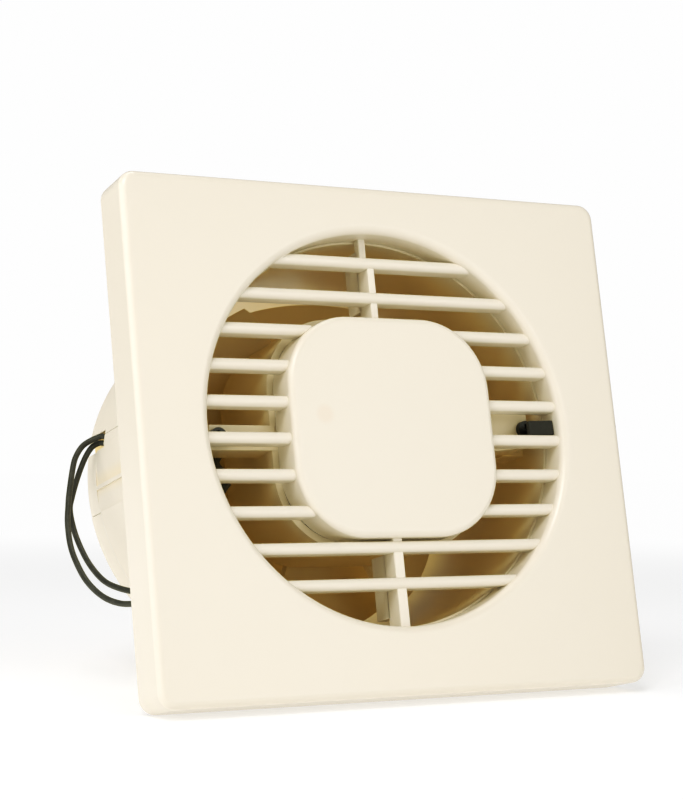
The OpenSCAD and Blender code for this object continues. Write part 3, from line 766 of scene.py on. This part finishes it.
FLOOR_RISE = 0.227       # the fan leans back: in its own frame the floor climbs with depth
FLOOR_AT_WALL = -73.9    # height of the floor below the wall plane
FLOOR_R, SURROUND_R = 3.0, 4.0
PAPER = (0.62, 0.62, 0.62, 1.0)
PAPER_GLOW, FAR_GLOW, SURROUND_GLOW = 0.46, 0.985, 0.99
PAPER_FADE = (0.35, 0.9)   # metres from the fan, where the paper turns into plain white
SOFTBOXES = {              # place in metres, width and height in metres, watts
    "key": ((-0.75, -1.05, 0.95), (0.55, 0.55), 8.7),
    "fill": ((0.5, -1.4, 0.1), (0.9, 0.9), 4.5),
    "side": ((-1.1, 0.15, 0.1), (0.5, 0.9), 3.9),
    "strip": ((-1.1, -0.62, 0.25), (0.15, 1.2), 3.6),
    "top": ((0.0, -0.1, 1.2), (0.7, 0.5), 3.0),
}
AIR_GLOW = 0.30
ALL_CHANNELS, BLUE_CHANNEL = 3, 2
GRADE = {
    ALL_CHANNELS: ((0.10, 0.065), (0.25, 0.22), (0.45, 0.44), (0.70, 0.70), (0.93, 0.935)),
    BLUE_CHANNEL: ((0.12, 0.095), (0.30, 0.26), (0.50, 0.475), (0.75, 0.745), (0.93, 0.93)),
}


def floor_turn():
    """Frame whose Z is the floor's normal."""
    up = Vector((0, -FLOOR_RISE, 1)).normalized()
    across = Vector((1, 0, 0))
    return Matrix((across, up.cross(across), up)).transposed()


def stage_object(name, bm, material):
    """Turns a mesh in metres into a part of the studio."""
    mesh = bpy.data.meshes.new(name)
    bm.to_mesh(mesh)
    bm.free()
    mesh.materials.append(material)
    made = add_object(name, mesh)
    return made


def make_floor():
    """White paper that takes the shadow near the fan and turns plain white further off."""
    bm = bmesh.new()
    bmesh.ops.create_circle(bm, cap_ends=True, segments=96, radius=FLOOR_R)
    bm.transform(floor_turn().to_4x4())
    bmesh.ops.translate(bm, verts=bm.verts, vec=Vector((0, 0, FLOOR_AT_WALL * MM)))
    s = Shader("white_paper")
    paper = s.node("ShaderNodeBsdfDiffuse", {}, {"Color": PAPER})
    near = s.node("ShaderNodeAddShader", {}, {0: paper, 1: s.glow(PAPER_GLOW)})
    reach = s.node("ShaderNodeVectorMath", {"operation": "LENGTH"}, {0: s.place}).part("Value")
    edge = s.between(reach, *PAPER_FADE)
    stage_object("floor", bm, s.output(s.node("ShaderNodeMixShader", {},
                                              {0: edge, 1: near, 2: s.glow(FAR_GLOW)})))


def make_dome():
    """Plain white surround, seen only directly."""
    bm = bmesh.new()
    bmesh.ops.create_uvsphere(bm, u_segments=48, v_segments=24, radius=SURROUND_R)
    s = Shader("white_surround")
    dome = stage_object("surround", bm, s.output(s.glow(SURROUND_GLOW)))
    dome.visible_diffuse = False
    dome.visible_glossy = False
    dome.visible_transmission = False
    dome.visible_shadow = False


def make_softbox(name, at, size, power):
    """Soft rectangular light that faces the fan."""
    data = bpy.data.lights.new(name, "AREA")
    data.shape = "RECTANGLE"
    data.size, data.size_y = size
    data.energy = power
    lamp = add_object(name, data)
    lamp.location = Vector(at)
    lamp.rotation_euler = (-Vector(at)).to_track_quat("-Z", "Y").to_euler()


def make_studio():
    """Floor, surround, lights and the picture's tone curve."""
    make_floor()
    make_dome()
    for name, (at, size, power) in SOFTBOXES.items():
        make_softbox(name, at, size, power)
    world = bpy.data.worlds.new("studio_air")
    world.use_nodes = True
    air = world.node_tree.nodes["Background"].inputs
    air["Color"].default_value = (1, 1, 1, 1)
    air["Strength"].default_value = AIR_GLOW
    scene = bpy.context.scene
    scene.world = world
    grade = scene.view_settings
    grade.view_transform = "Standard"
    grade.use_curve_mapping = True
    for channel, points in GRADE.items():
        for place in points:
            grade.curve_mapping.curves[channel].points.new(*place)
    grade.curve_mapping.update()


make_camera()
finish_cad_nodes()
make_front_grille()
make_buffer()
make_impeller()
make_lead("lead_a", LEAD_A_ROUTE)
make_lead("lead_b", LEAD_B_ROUTE)
make_studio()

bpy.context.view_layer.update()
